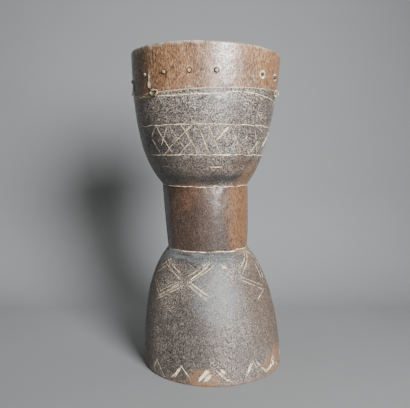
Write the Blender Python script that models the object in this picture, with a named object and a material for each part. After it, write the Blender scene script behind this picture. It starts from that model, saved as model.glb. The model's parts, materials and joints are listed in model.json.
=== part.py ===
"""A tall goblet drum carved from one log, with the pegs and shreds of hide that its lost skin left.

The bowl, waist and bell foot are one hollow body. Angles are in degrees round the body: 0 is the
front, which faces -Y, and positive angles run towards +X.
"""
import math
import random

import bmesh
import bpy
from mathutils import Matrix, Vector

# Heights of the three sections, in metres
FOOT_HEIGHT = 0.226
WAIST_HEIGHT = 0.122
BOWL_HEIGHT = 0.238
BAND_HEIGHT = 0.075

# Outer radii
FOOT_RADIUS = 0.1333
WAIST_LOW_RADIUS = 0.0765
WAIST_TOP_RADIUS = 0.0815
BAND_LOW_RADIUS = 0.1343
RIM_RADIUS = 0.140
BAND_STEP = 0.0010
EDGE_WEAR = 0.0025

# The hollow
RIM_WALL = 0.0135
FOOT_WALL = 0.0160
BORE_RADIUS = 0.040
BOWL_DEPTH = 0.216
FOOT_CAVITY_HEIGHT = 0.188
OVERCUT = 0.020

# How far the log's centre wanders sideways, and how much the rim falls to the right
FOOT_SHIFT = 0.0105
WAIST_SHIFT = 0.0007
BELLY_SHIFT = -0.0070
RIM_SHIFT = -0.0032
RIM_SLOPE = 0.023

# Ring lines cut round the body, below the rim or above the ground
RING_WIDTH = 0.0032
RING_DEPTH = 0.0010
BAND_LINE_DROP = 0.0845
LATTICE_TOP_DROP = 0.133
LATTICE_LOW_DROP = 0.184

# Knife strokes
STROKE_DEPTH = 0.0011
STROKE_STEP = 0.040
LINE_PITCH = 0.0075
CROSS_TOP = 0.212
CROSS_MIDDLE = 0.184
CROSS_LOW = 0.149
CHEVRON_TOP = 0.036
CHEVRON_LOW = 0.008

# Where the strokes stand round the body, in degrees, as the carver's eye spaced them.
# The lattice has the angles of each stroke's top and foot: those that fall to the right, then the left.
LATTICE_FALLING = [(-42, -29), (-29, -16), (-18, -4), (-4, 5), (3, 15), (22, 36), (45, 59)]
LATTICE_RISING = [(-29, -40), (-8, -36), (11, 1), (28, 17), (57, 45), (79, 66)]
LATTICE_HIDDEN_START = 72
LATTICE_HIDDEN_COUNT = 15
LATTICE_HIDDEN_PITCH = 15.4
CROSS_CENTRES = [33, -22, -72.8, -123.6, -174.4, -225.2, -276]
CROSS_LEFT_SPREAD = 30
CROSS_RIGHT_SPREAD = 25
CROSS_GAP = 3
CHEVRON_PEAKS = [-52, -24, 1, 33, 57]
CHEVRON_HIDDEN_COUNT = 9
CHEVRON_SPREAD = 10.0
CHEVRON_HALF_PEAK = 1.0

# Pegs and hide
PEG_PLACES = 19
PEG_FIRST_ANGLE = -87.0
PEG_DROP = 0.047
PEG_RADIUS = 0.0034
PEG_DEPTH = 0.009
PEG_STAND = 0.0026
EMPTY_PEG_PLACES = (1, 6, 9)
HIDE_THICKNESS = 0.0013
CLEARANCE = 0.0003

BODY_SEGMENTS = 40
HOLLOW_SEGMENTS = 22
PEG_SIDES = 7

# Shares of a cavity's depth where its profile has a point, and how suddenly its head closes
CAVITY_SHARES = (0.0, 0.45, 0.70, 0.83, 0.93, 1.0)
HEAD_SHARPNESS = 8

WAIST_Z = FOOT_HEIGHT
BOWL_Z = FOOT_HEIGHT + WAIST_HEIGHT
RIM_Z = BOWL_Z + BOWL_HEIGHT
BAND_Z = RIM_Z - BAND_HEIGHT
BELLY_Z = BOWL_Z + 0.3 * BOWL_HEIGHT
LATTICE_TOP_Z = RIM_Z - LATTICE_TOP_DROP
LATTICE_LOW_Z = RIM_Z - LATTICE_LOW_DROP
PEG_Z = RIM_Z - PEG_DROP

CUTTERS = bpy.data.collections.new("cutters")


def clear_scene():
    for old in list(bpy.data.objects):
        bpy.data.objects.remove(old)
    bpy.context.scene.collection.children.link(CUTTERS)


def material(name, color, roughness):
    finish = bpy.data.materials.new(name)
    finish.use_nodes = True
    shader = finish.node_tree.nodes["Principled BSDF"]
    shader.inputs["Base Color"].default_value = (*color, 1.0)
    shader.inputs["Roughness"].default_value = roughness
    return finish


def draw_in(share, slow, fast, balance):
    """How far a bell has closed at a share of its length: a slow curve plus a steep one at the end."""
    return balance * share ** slow + (1.0 - balance) * share ** fast


def foot_radius(z):
    return FOOT_RADIUS - (FOOT_RADIUS - WAIST_LOW_RADIUS) * draw_in(z / FOOT_HEIGHT, 2.0, 6.0, 0.67)


def waist_radius(z):
    share = (z - WAIST_Z) / WAIST_HEIGHT
    return WAIST_LOW_RADIUS + (WAIST_TOP_RADIUS - WAIST_LOW_RADIUS) * (1.0 - (1.0 - share) ** 2)


def bowl_radius(z):
    top = BAND_LOW_RADIUS - BAND_STEP
    share = (BAND_Z - z) / (BAND_Z - BOWL_Z)
    return top - (top - WAIST_TOP_RADIUS) * draw_in(share, 1.45, 5.5, 0.71)


def band_radius(z):
    share = (z - BAND_Z) / BAND_HEIGHT
    return BAND_LOW_RADIUS + (RIM_RADIUS - BAND_LOW_RADIUS) * share ** 0.8


def outer_radius(z):
    if z < WAIST_Z:
        return foot_radius(max(z, 0.0))
    if z < BOWL_Z:
        return waist_radius(z)
    if z < BAND_Z:
        return bowl_radius(z)
    return band_radius(min(z, RIM_Z))


def centre_x(z):
    """Sideways place of the log's centre, eased from one named height to the next."""
    stops = ((0.0, FOOT_SHIFT), (WAIST_Z, WAIST_SHIFT), (BELLY_Z, BELLY_SHIFT), (RIM_Z, RIM_SHIFT))
    if z <= 0.0:
        return FOOT_SHIFT
    for (low, low_shift), (high, high_shift) in zip(stops, stops[1:]):
        if z <= high:
            share = (z - low) / (high - low)
            eased = 0.5 * share + 0.5 * share * share * (3.0 - 2.0 * share)
            return low_shift + (high_shift - low_shift) * eased
    return RIM_SHIFT


def on_wall(angle, z, lift=0.0):
    """A point on the outer wall, or above it by lift."""
    turn = math.radians(angle)
    radius = outer_radius(z) + lift
    return Vector((centre_x(z) + radius * math.sin(turn), -radius * math.cos(turn), z))


def wall_frame(angle, z, lift=0.0):
    """A place on the wall whose Z points out, whose X runs round the body and whose Y runs up."""
    turn = math.radians(angle)
    out = Vector((math.sin(turn), -math.cos(turn), 0.0))
    up = (on_wall(angle, z + 0.003) - on_wall(angle, z - 0.003)).normalized()
    across = up.cross(out).normalized()
    out = across.cross(up)
    frame = Matrix((across, up, out)).transposed().to_4x4()
    frame.translation = on_wall(angle, z) + lift * out
    return frame


def new_object(name, mesh, finish=None, cutter=False):
    thing = bpy.data.objects.new(name, mesh)
    if finish:
        mesh.materials.append(finish)
    if cutter:
        thing.hide_render = True
        thing.display_type = "WIRE"
        CUTTERS.objects.link(thing)
    else:
        bpy.context.scene.collection.objects.link(thing)
    return thing


def turned_mesh(name, profile, segments):
    """A closed solid of revolution round Z from (radius, height) pairs that start and end on the axis."""
    bm = bmesh.new()
    rim = [bm.verts.new((radius, 0.0, height)) for radius, height in profile]
    edges = [bm.edges.new(pair) for pair in zip(rim, rim[1:])]
    bmesh.ops.spin(bm, geom=rim + edges, axis=(0, 0, 1), cent=(0, 0, 0), angle=math.tau,
                   steps=segments, use_merge=True)
    bmesh.ops.remove_doubles(bm, verts=bm.verts, dist=1e-6)
    bmesh.ops.recalc_face_normals(bm, faces=bm.faces)
    mesh = bpy.data.meshes.new(name)
    bm.to_mesh(mesh)
    bm.free()
    return mesh


def soften(mesh):
    mesh.shade_smooth()
    mesh.set_sharp_from_angle(angle=math.radians(35))


def follow_centre(mesh):
    for vertex in mesh.vertices:
        vertex.co.x += centre_x(vertex.co.z)


def spaced(low, high, count, crowd=1.0):
    """Heights from low up to high, which is left out. A crowd under 1 brings them closer near high."""
    return [low + (high - low) * (i / count) ** crowd for i in range(count)]


def ring_line(z):
    """The three profile points of a V-shaped line round the wall."""
    half = RING_WIDTH / 2
    return [(outer_radius(z - half), z - half), (outer_radius(z) - RING_DEPTH, z),
            (outer_radius(z + half), z + half)]


def outer_profile():
    band_line = RIM_Z - BAND_LINE_DROP
    points = [(0.0, 0.0), (FOOT_RADIUS - EDGE_WEAR, 0.0), (FOOT_RADIUS, EDGE_WEAR)]
    points += [(foot_radius(z), z) for z in spaced(EDGE_WEAR, WAIST_Z, 8, 0.6)[1:]]
    points += [(waist_radius(z), z) for z in spaced(WAIST_Z, BOWL_Z, 3)]
    points += [(bowl_radius(z), z) for z in spaced(BOWL_Z, LATTICE_LOW_Z - RING_WIDTH, 4)]
    points += ring_line(LATTICE_LOW_Z)
    points.append((bowl_radius((LATTICE_LOW_Z + LATTICE_TOP_Z) / 2), (LATTICE_LOW_Z + LATTICE_TOP_Z) / 2))
    points += ring_line(LATTICE_TOP_Z)
    points.append((bowl_radius((band_line + LATTICE_TOP_Z) / 2), (band_line + LATTICE_TOP_Z) / 2))
    points += ring_line(band_line)
    points += [(bowl_radius(BAND_Z - BAND_STEP), BAND_Z - BAND_STEP)]
    points += [(band_radius(z), z) for z in spaced(BAND_Z, RIM_Z - EDGE_WEAR, 2)]
    points += [(RIM_RADIUS, RIM_Z - EDGE_WEAR), (RIM_RADIUS - EDGE_WEAR, RIM_Z), (0.0, RIM_Z)]
    return points


def hollow_profile():
    """Base cavity, narrow bore and bowl in one cutter, which runs past both ends of the body.

    Each cavity follows the outer wall at that end's wall thickness and closes to the bore at its head.
    """
    points = [(0.0, -OVERCUT), (FOOT_RADIUS - FOOT_WALL, -OVERCUT)]
    for share in CAVITY_SHARES:
        z = share * FOOT_CAVITY_HEIGHT
        room = outer_radius(z) - FOOT_WALL - BORE_RADIUS
        points.append((BORE_RADIUS + room * (1.0 - share ** HEAD_SHARPNESS), z))
    for share in reversed(CAVITY_SHARES):
        z = RIM_Z - share * BOWL_DEPTH
        room = outer_radius(z) - RIM_WALL - BORE_RADIUS
        points.append((BORE_RADIUS + room * (1.0 - share ** HEAD_SHARPNESS), z))
    points += [(RIM_RADIUS - RIM_WALL, RIM_Z + OVERCUT), (0.0, RIM_Z + OVERCUT)]
    return points


def stroke(start, end):
    """One knife stroke: a V-shaped bar along the wall from start to end, each an (angle, height) pair."""
    along = on_wall(*end) - on_wall(*start)
    steps = max(2, math.ceil(along.length / STROKE_STEP))
    bm = bmesh.new()
    rings = []
    for i in range(steps + 1):
        share = i / steps
        angle = start[0] + (end[0] - start[0]) * share
        z = start[1] + (end[1] - start[1]) * share
        frame = wall_frame(angle, z)
        out = frame.col[2].to_3d() * STROKE_DEPTH
        side = out.cross(along.normalized())
        here = frame.translation
        rings.append([bm.verts.new(here + corner) for corner in (out + 2 * side, out - 2 * side, -out)])
    for near, far in zip(rings, rings[1:]):
        for k in range(3):
            bm.faces.new((near[k], near[k - 1], far[k - 1], far[k]))
    bm.faces.new(rings[0])
    bm.faces.new(rings[-1])
    bmesh.ops.recalc_face_normals(bm, faces=bm.faces)
    mesh = bpy.data.meshes.new("stroke")
    bm.to_mesh(mesh)
    bm.free()
    new_object("stroke_cutter", mesh, cutter=True)


def lattice_strokes():
    """The crossed lines between the two rings of the lattice band, uneven as a knife leaves them."""
    falling = list(LATTICE_FALLING)
    rising = list(LATTICE_RISING)
    hand = random.Random(4)
    for i in range(LATTICE_HIDDEN_COUNT):
        angle = LATTICE_HIDDEN_START + LATTICE_HIDDEN_PITCH * i + hand.uniform(-1.5, 1.5)
        foot = angle + hand.uniform(10, 13)
        falling.append((angle, foot))
        if i % 3 == 0:
            rising.append((foot, angle + hand.uniform(-4, 0)))
    for top, low in falling + rising:
        stroke((top, LATTICE_TOP_Z), (low, LATTICE_LOW_Z))


def doubled(start, end):
    for drop in (0.0, LINE_PITCH):
        stroke((start[0], start[1] - drop), (end[0], end[1] - drop))


def shoulder_crosses():
    """Crosses of doubled lines. The carver left out the lower left arm of the first."""
    upper_end = CROSS_MIDDLE
    lower_start = CROSS_MIDDLE - LINE_PITCH / 2
    for centre in CROSS_CENTRES:
        left = centre - CROSS_LEFT_SPREAD
        right = centre + CROSS_RIGHT_SPREAD
        doubled((left, CROSS_TOP), (centre - CROSS_GAP, upper_end))
        doubled((right, CROSS_TOP), (centre + CROSS_GAP, upper_end))
        doubled((centre + CROSS_GAP, lower_start), (right, CROSS_LOW))
        if centre != CROSS_CENTRES[0]:
            doubled((centre - CROSS_GAP, lower_start), (left, CROSS_LOW))


def foot_chevrons():
    """Chevrons that stand on the foot's edge: the front ones by eye, the rest evenly between them."""
    last = CHEVRON_PEAKS[-1]
    pitch = (CHEVRON_PEAKS[0] + 360.0 - last) / (CHEVRON_HIDDEN_COUNT + 1)
    hidden = [last + pitch * (i + 1) for i in range(CHEVRON_HIDDEN_COUNT)]
    for peak in CHEVRON_PEAKS + hidden:
        for side in (-CHEVRON_HALF_PEAK, CHEVRON_HALF_PEAK):
            stroke((peak + side, CHEVRON_TOP), (peak + side * (1 + CHEVRON_SPREAD), CHEVRON_LOW))


def peg_angles():
    places = [n for n in range(PEG_PLACES) if n not in EMPTY_PEG_PLACES]
    return [PEG_FIRST_ANGLE + n * 360.0 / PEG_PLACES for n in places]


def build_pegs(finish):
    """Each peg is a short dowel with a rounded head, in its own blind hole."""
    dowel = turned_mesh("peg", [(0.0, -PEG_DEPTH), (PEG_RADIUS, -PEG_DEPTH), (PEG_RADIUS, 0.5 * PEG_STAND),
                                (0.6 * PEG_RADIUS, PEG_STAND), (0.0, PEG_STAND)], PEG_SIDES)
    hole_radius = PEG_RADIUS + CLEARANCE
    hole_end = -PEG_DEPTH - CLEARANCE
    hole = turned_mesh("peg_hole", [(0.0, hole_end), (hole_radius, hole_end),
                                    (hole_radius, PEG_DEPTH), (0.0, PEG_DEPTH)], PEG_SIDES)
    soften(dowel)
    dowel.materials.append(finish)
    for n, angle in enumerate(peg_angles(), start=1):
        place = wall_frame(angle, PEG_Z)
        new_object(f"peg_{n:02d}", dowel).matrix_world = place
        new_object(f"peg_hole_{n:02d}", hole, cutter=True).matrix_world = place


def hide_strip(name, finish, angle, top, low, top_width, low_width, hang):
    """A shred of hide on the band that widens downward and comes away from the wall by hang at its lower end."""
    rows = 4
    bm = bmesh.new()
    bmesh.ops.create_grid(bm, x_segments=2, y_segments=rows, size=0.5)
    for vertex in bm.verts:
        share = 0.5 - vertex.co.y
        lift = CLEARANCE + hang * share ** 2
        width = top_width + (low_width - top_width) * share
        turn = vertex.co.x * math.degrees(width / outer_radius(top))
        vertex.co = on_wall(angle + turn, top + (low - top) * share, lift)
    grown = bmesh.ops.extrude_face_region(bm, geom=list(bm.faces))["geom"]
    turn = math.radians(angle)
    thickness = HIDE_THICKNESS * Vector((math.sin(turn), -math.cos(turn), 0.0))
    bmesh.ops.translate(bm, verts=[v for v in grown if isinstance(v, bmesh.types.BMVert)], vec=thickness)
    bmesh.ops.recalc_face_normals(bm, faces=bm.faces)
    mesh = bpy.data.meshes.new(name)
    bm.to_mesh(mesh)
    bm.free()
    new_object(name, mesh, finish)


def hide_loop(name, finish, angle, z, width, height, thickness, stand):
    """A torn lace loop against the wall, whose right side stands off it by stand."""
    steps = 10
    curve = bpy.data.curves.new(name, "CURVE")
    curve.dimensions = "3D"
    curve.bevel_depth = thickness
    curve.bevel_resolution = 0
    line = curve.splines.new("POLY")
    line.points.add(steps - 1)
    line.use_cyclic_u = True
    for i, point in enumerate(line.points):
        turn = math.tau * i / steps
        place = wall_frame(angle, z + height / 2 * math.sin(turn))
        lift = thickness + 2 * CLEARANCE + stand * (1 + math.cos(turn)) / 2
        point.co = (*(place @ Vector((width / 2 * math.cos(turn), 0.0, lift))), 1.0)
    new_object(name, curve).data.materials.append(finish)


def build_body(finish):
    body_mesh = turned_mesh("drum_body", outer_profile(), BODY_SEGMENTS)
    for vertex in body_mesh.vertices:
        near_rim = min(max((vertex.co.z - BAND_Z) / BAND_HEIGHT, 0.0), 1.0)
        vertex.co.z -= RIM_SLOPE * vertex.co.x * near_rim
    follow_centre(body_mesh)
    soften(body_mesh)
    body = new_object("drum_body", body_mesh, finish)
    hollow_mesh = turned_mesh("hollow", hollow_profile(), HOLLOW_SEGMENTS)
    follow_centre(hollow_mesh)
    new_object("hollow_cutter", hollow_mesh, cutter=True)
    lattice_strokes()
    shoulder_crosses()
    foot_chevrons()
    carve = body.modifiers.new("carving", "BOOLEAN")
    carve.operation = "DIFFERENCE"
    carve.solver = "EXACT"
    carve.operand_type = "COLLECTION"
    carve.collection = CUTTERS


def build_drum():
    clear_scene()
    log_wood = material("log_wood", (0.075, 0.050, 0.036), 0.55)
    peg_wood = material("peg_wood", (0.26, 0.17, 0.10), 0.6)
    rawhide = material("rawhide", (0.48, 0.38, 0.25), 0.7)
    build_body(log_wood)
    build_pegs(peg_wood)
    hide_strip("hide_strip_left", rawhide, -73, PEG_Z - 0.002, BAND_Z, 0.006, 0.011, 0.0030)
    hide_strip("hide_strip_front", rawhide, -43.5, PEG_Z + 0.007, BAND_Z + 0.005, 0.0055, 0.0080, 0.0008)
    hide_loop("hide_loop_left", rawhide, -39.5, BAND_Z - 0.0035, 0.017, 0.0095, 0.0017, 0.0010)
    hide_loop("hide_loop_right", rawhide, 68, BAND_Z + 0.0015, 0.009, 0.0095, 0.0016, 0.0045)


build_drum()
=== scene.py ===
# %% [markdown]
# # A goblet drum carved from one log
#
# This lesson finishes a tall ritual drum that has lost its skin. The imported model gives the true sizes,
# and each cell below adds one piece or one finish: the carved wood, the knife lines, the pegs, the
# shreds of hide, and last the floor, the lights and the camera.

# %% Load the frame
import json
import math

import bmesh
import bpy
from mathutils import Matrix, Vector, noise

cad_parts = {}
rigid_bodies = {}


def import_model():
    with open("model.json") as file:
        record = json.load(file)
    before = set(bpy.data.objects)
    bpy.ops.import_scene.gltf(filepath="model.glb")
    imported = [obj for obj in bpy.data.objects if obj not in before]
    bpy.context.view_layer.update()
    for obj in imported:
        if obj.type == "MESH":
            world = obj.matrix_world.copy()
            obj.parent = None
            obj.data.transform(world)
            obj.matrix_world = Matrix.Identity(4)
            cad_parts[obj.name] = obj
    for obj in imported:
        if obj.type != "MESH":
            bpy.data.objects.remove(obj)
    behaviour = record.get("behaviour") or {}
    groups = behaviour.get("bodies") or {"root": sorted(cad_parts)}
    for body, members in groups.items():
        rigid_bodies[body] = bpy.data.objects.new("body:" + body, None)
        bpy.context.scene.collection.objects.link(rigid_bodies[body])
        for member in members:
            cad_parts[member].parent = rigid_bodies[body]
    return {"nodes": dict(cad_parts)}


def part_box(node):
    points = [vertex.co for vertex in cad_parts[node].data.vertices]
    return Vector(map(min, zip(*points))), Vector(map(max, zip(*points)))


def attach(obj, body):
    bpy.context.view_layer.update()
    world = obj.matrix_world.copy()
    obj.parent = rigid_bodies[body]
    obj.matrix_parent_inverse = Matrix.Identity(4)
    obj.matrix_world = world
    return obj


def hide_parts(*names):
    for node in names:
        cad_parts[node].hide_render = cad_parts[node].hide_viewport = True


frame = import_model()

NOISE_SEED = 5
noise.seed_set(NOISE_SEED)
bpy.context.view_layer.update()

# %% [markdown]
# ## The drum's own measures
#
# A turned form is easiest to keep in step with its carving when both ask the same function for the wall.
# So the heights of foot, waist, bowl and band are named once, in metres above the ground, and every
# later piece is placed by an angle round the drum and a height. Angle 0 is the front, which faces -Y.

# %% Heights and radii
WAIST_Z = 0.226
BOWL_Z = 0.348
BAND_Z = 0.511
RIM_Z = 0.586
FOOT_RADIUS = 0.1333
WAIST_LOW_RADIUS = 0.0765
WAIST_TOP_RADIUS = 0.0815
BAND_LOW_RADIUS = 0.1343
RIM_RADIUS = 0.140
BAND_STEP = 0.0010
RIM_WALL = 0.0135
FOOT_WALL = 0.0160
BORE_RADIUS = 0.040
BOWL_DEPTH = 0.216
FOOT_CAVITY_HEIGHT = 0.188
print("rim", RIM_Z, "waist", BOWL_Z - WAIST_Z, "band", RIM_Z - BAND_Z)

# %% The outer wall as a function of height
def draw_in(share, slow, fast, balance):
    """How far a bell has closed at a share of its length."""
    return balance * share ** slow + (1.0 - balance) * share ** fast


def outer_radius(z):
    if z < WAIST_Z:
        return FOOT_RADIUS - (FOOT_RADIUS - WAIST_LOW_RADIUS) * draw_in(max(z, 0.0) / WAIST_Z, 2.0, 6.0, 0.67)
    if z < BOWL_Z:
        share = (z - WAIST_Z) / (BOWL_Z - WAIST_Z)
        return WAIST_LOW_RADIUS + (WAIST_TOP_RADIUS - WAIST_LOW_RADIUS) * (1.0 - (1.0 - share) ** 2)
    if z < BAND_Z:
        top = BAND_LOW_RADIUS - BAND_STEP
        return top - (top - WAIST_TOP_RADIUS) * draw_in((BAND_Z - z) / (BAND_Z - BOWL_Z), 1.45, 5.5, 0.71)
    share = min((z - BAND_Z) / (RIM_Z - BAND_Z), 1.0)
    return BAND_LOW_RADIUS + (RIM_RADIUS - BAND_LOW_RADIUS) * share ** 0.8


print("radius at the belly:", round(outer_radius(0.43), 4))

# %% [markdown]
# ## The lean of the log
#
# The tree was not quite straight, and neither is the drum: its foot stands more than a centimetre to the
# right of its bowl. The rim also falls a little to the right. Both are added after the turned shape is
# made, so the shape stays easy to read.

# %% Lean
LEAN = ((0.0, 0.0105), (WAIST_Z, 0.0007), (BOWL_Z + 0.3 * (RIM_Z - BOWL_Z), -0.0070), (RIM_Z, -0.0032))
RIM_SLOPE = 0.023
BAND_TILT = 0.045


def centre_x(z):
    if z <= 0.0:
        return LEAN[0][1]
    for (low, low_shift), (high, high_shift) in zip(LEAN, LEAN[1:]):
        if z <= high:
            share = (z - low) / (high - low)
            eased = 0.5 * share + 0.5 * share * share * (3.0 - 2.0 * share)
            return low_shift + (high_shift - low_shift) * eased
    return LEAN[-1][1]


def lean(verts):
    for vertex in verts:
        x, y, z = vertex.co
        near_rim = min(max((z - BAND_Z) / (RIM_Z - BAND_Z), 0.0), 1.0)
        vertex.co.z = z - RIM_SLOPE * x * near_rim
        vertex.co.x = x + centre_x(z)


print("foot shifted by", centre_x(0.0), "and rim by", centre_x(RIM_Z))

# %% [markdown]
# ## Places on the wall
#
# Knife lines, pegs and hide all sit on the wall. A small frame at each place gives the three directions
# they need: across, up the wall and straight out of it.

# %% A frame on the wall
def on_wall(angle, z, lift=0.0):
    turn = math.radians(angle)
    radius = outer_radius(z) + lift
    return Vector((centre_x(z) + radius * math.sin(turn), -radius * math.cos(turn), z))


def wall_frame(angle, z):
    turn = math.radians(angle)
    flat_out = Vector((math.sin(turn), -math.cos(turn), 0.0))
    up = (on_wall(angle, z + 0.003) - on_wall(angle, z - 0.003)).normalized()
    across = up.cross(flat_out).normalized()
    out = across.cross(up)
    place = Matrix((across, up, out)).transposed().to_4x4()
    place.translation = on_wall(angle, z)
    return place


print("front of the belly:", tuple(round(c, 4) for c in on_wall(0, 0.43)))

# %% [markdown]
# ## Small helpers
#
# Every finished piece goes through the same door: its mesh is made an object, it rides on the drum,
# and it says which solid it stands for.

# %% Finish a piece
def add_piece(name, mesh, replaces, smooth_angle=40):
    piece = bpy.data.objects.new(name, mesh)
    bpy.context.scene.collection.objects.link(piece)
    mesh.shade_smooth()
    mesh.set_sharp_from_angle(angle=math.radians(smooth_angle))
    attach(piece, "root")
    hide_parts(*replaces)
    print("piece", name, "stands for", *replaces)


def mesh_from(bm, name, *materials):
    mesh = bpy.data.meshes.new(name)
    bm.to_mesh(mesh)
    bm.free()
    for finish in materials:
        mesh.materials.append(finish)
    return mesh


def wander(angle, z, scale, seed=0.0):
    """Smooth noise from -1 to 1 that closes on itself round the drum."""
    turn = math.radians(angle)
    return noise.noise(Vector((math.sin(turn) * scale, math.cos(turn) * scale, z * scale * 7.5 + seed)))


# %% [markdown]
# ## Shader groups
#
# A few effects make up the look of the wood. Vertical streaks are the grain of the log. Speckle is the
# fine pitting of an old stained surface, and crackle is its net of thin pale lines. A zone limits a
# colour to a stretch of the drum's height, with an uneven edge, and a round spot limits it to one
# place. Most spots are wear; some are painted shade and one is a painted sheen. Each is a node group
# that gives a mask.

# %% A helper for node groups
def start_group(name, numbers, outputs):
    group = bpy.data.node_groups.new(name, "ShaderNodeTree")
    for label, value in numbers.items():
        socket = group.interface.new_socket(label, in_out="INPUT", socket_type="NodeSocketFloat")
        socket.default_value = value
    for label in outputs:
        group.interface.new_socket(label, in_out="OUTPUT", socket_type="NodeSocketFloat")
    return group, group.nodes.new("NodeGroupInput"), group.nodes.new("NodeGroupOutput")


def math_node(tree, operation, first, second=None, clamp=False):
    node = tree.nodes.new("ShaderNodeMath")
    node.operation = operation
    node.use_clamp = clamp
    for socket, value in zip(node.inputs, (first, second)):
        if value is None:
            continue
        if isinstance(value, (int, float)):
            socket.default_value = value
        else:
            tree.links.new(value, socket)
    return node.outputs[0]


def noise_node(tree, vector, scale, detail, roughness):
    node = tree.nodes.new("ShaderNodeTexNoise")
    node.inputs["Detail"].default_value = detail
    node.inputs["Roughness"].default_value = roughness
    tree.links.new(vector, node.inputs["Vector"])
    if isinstance(scale, (int, float)):
        node.inputs["Scale"].default_value = scale
    else:
        tree.links.new(scale, node.inputs["Scale"])
    return node.outputs["Fac"]


def contrast(tree, value, low, high):
    """Stretches a value so that low becomes 0 and high becomes 1."""
    node = tree.nodes.new("ShaderNodeMapRange")
    node.clamp = True
    tree.links.new(value, node.inputs["Value"])
    node.inputs["From Min"].default_value = low
    node.inputs["From Max"].default_value = high
    return node.outputs["Result"]


# %% Group: grain streaks up the log
def make_streaks():
    group, inside, outside = start_group("grain_streaks", {"Fineness": 90.0, "Stretch": 0.08}, ["Mask"])
    place = group.nodes.new("ShaderNodeTexCoord")
    squeeze = group.nodes.new("ShaderNodeCombineXYZ")
    squeeze.inputs["X"].default_value = 1.0
    squeeze.inputs["Y"].default_value = 1.0
    group.links.new(inside.outputs["Stretch"], squeeze.inputs["Z"])
    stretched = group.nodes.new("ShaderNodeVectorMath")
    stretched.operation = "MULTIPLY"
    group.links.new(place.outputs["Object"], stretched.inputs[0])
    group.links.new(squeeze.outputs["Vector"], stretched.inputs[1])
    fine = noise_node(group, stretched.outputs["Vector"], inside.outputs["Fineness"], 3.0, 0.6)
    group.links.new(contrast(group, fine, 0.32, 0.68), outside.inputs["Mask"])
    return group


GRAIN_STREAKS = make_streaks()

# %% Group: speckle of an old surface
def make_speckle():
    group, inside, outside = start_group(
        "old_speckle", {"Fineness": 420.0, "Patches": 45.0}, ["Mask", "Patch"])
    place = group.nodes.new("ShaderNodeTexCoord")
    fine = noise_node(group, place.outputs["Object"], inside.outputs["Fineness"], 3.0, 0.7)
    broad = noise_node(group, place.outputs["Object"], inside.outputs["Patches"], 4.0, 0.6)
    group.links.new(contrast(group, fine, 0.33, 0.67), outside.inputs["Mask"])
    group.links.new(contrast(group, broad, 0.35, 0.65), outside.inputs["Patch"])
    return group


OLD_SPECKLE = make_speckle()

# %% Group: a zone of height with an uneven edge
def make_zone():
    group, inside, outside = start_group(
        "height_zone",
        {"Low": 0.0, "High": 1.0, "Blur": 0.003, "Waver": 0.004, "Fineness": 30.0, "Tilt": 0.0}, ["Mask"])
    place = group.nodes.new("ShaderNodeTexCoord")
    split = group.nodes.new("ShaderNodeSeparateXYZ")
    group.links.new(place.outputs["Object"], split.inputs["Vector"])
    uneven = noise_node(group, place.outputs["Object"], inside.outputs["Fineness"], 4.0, 0.6)
    swing = math_node(group, "MULTIPLY", math_node(group, "SUBTRACT", uneven, 0.5), inside.outputs["Waver"])
    level = math_node(group, "SUBTRACT", split.outputs["Z"],
                      math_node(group, "MULTIPLY", split.outputs["X"], inside.outputs["Tilt"]))
    height = math_node(group, "ADD", level, math_node(group, "MULTIPLY", swing, 2.0))
    above = math_node(group, "DIVIDE", math_node(group, "SUBTRACT", height, inside.outputs["Low"]),
                      inside.outputs["Blur"])
    below = math_node(group, "DIVIDE", math_node(group, "SUBTRACT", inside.outputs["High"], height),
                      inside.outputs["Blur"])
    both = math_node(group, "MINIMUM", math_node(group, "ADD", above, 0.5),
                     math_node(group, "ADD", below, 0.5))
    group.links.new(math_node(group, "MINIMUM", math_node(group, "MAXIMUM", both, 0.0), 1.0),
                    outside.inputs["Mask"])
    return group


HEIGHT_ZONE = make_zone()

# %% Group: a crackle of thin pale lines
def make_crackle():
    group, inside, outside = start_group("worn_crackle", {"Fineness": 250.0, "Line": 0.035}, ["Mask"])
    place = group.nodes.new("ShaderNodeTexCoord")
    wrinkled = noise_node(group, place.outputs["Object"], inside.outputs["Fineness"], 1.5, 0.5)
    from_line = math_node(group, "ABSOLUTE", math_node(group, "SUBTRACT", wrinkled, 0.5))
    share = math_node(group, "DIVIDE", from_line, inside.outputs["Line"])
    mask = math_node(group, "SUBTRACT", 1.0, share, clamp=True)
    group.links.new(mask, outside.inputs["Mask"])
    return group


WORN_CRACKLE = make_crackle()
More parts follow.
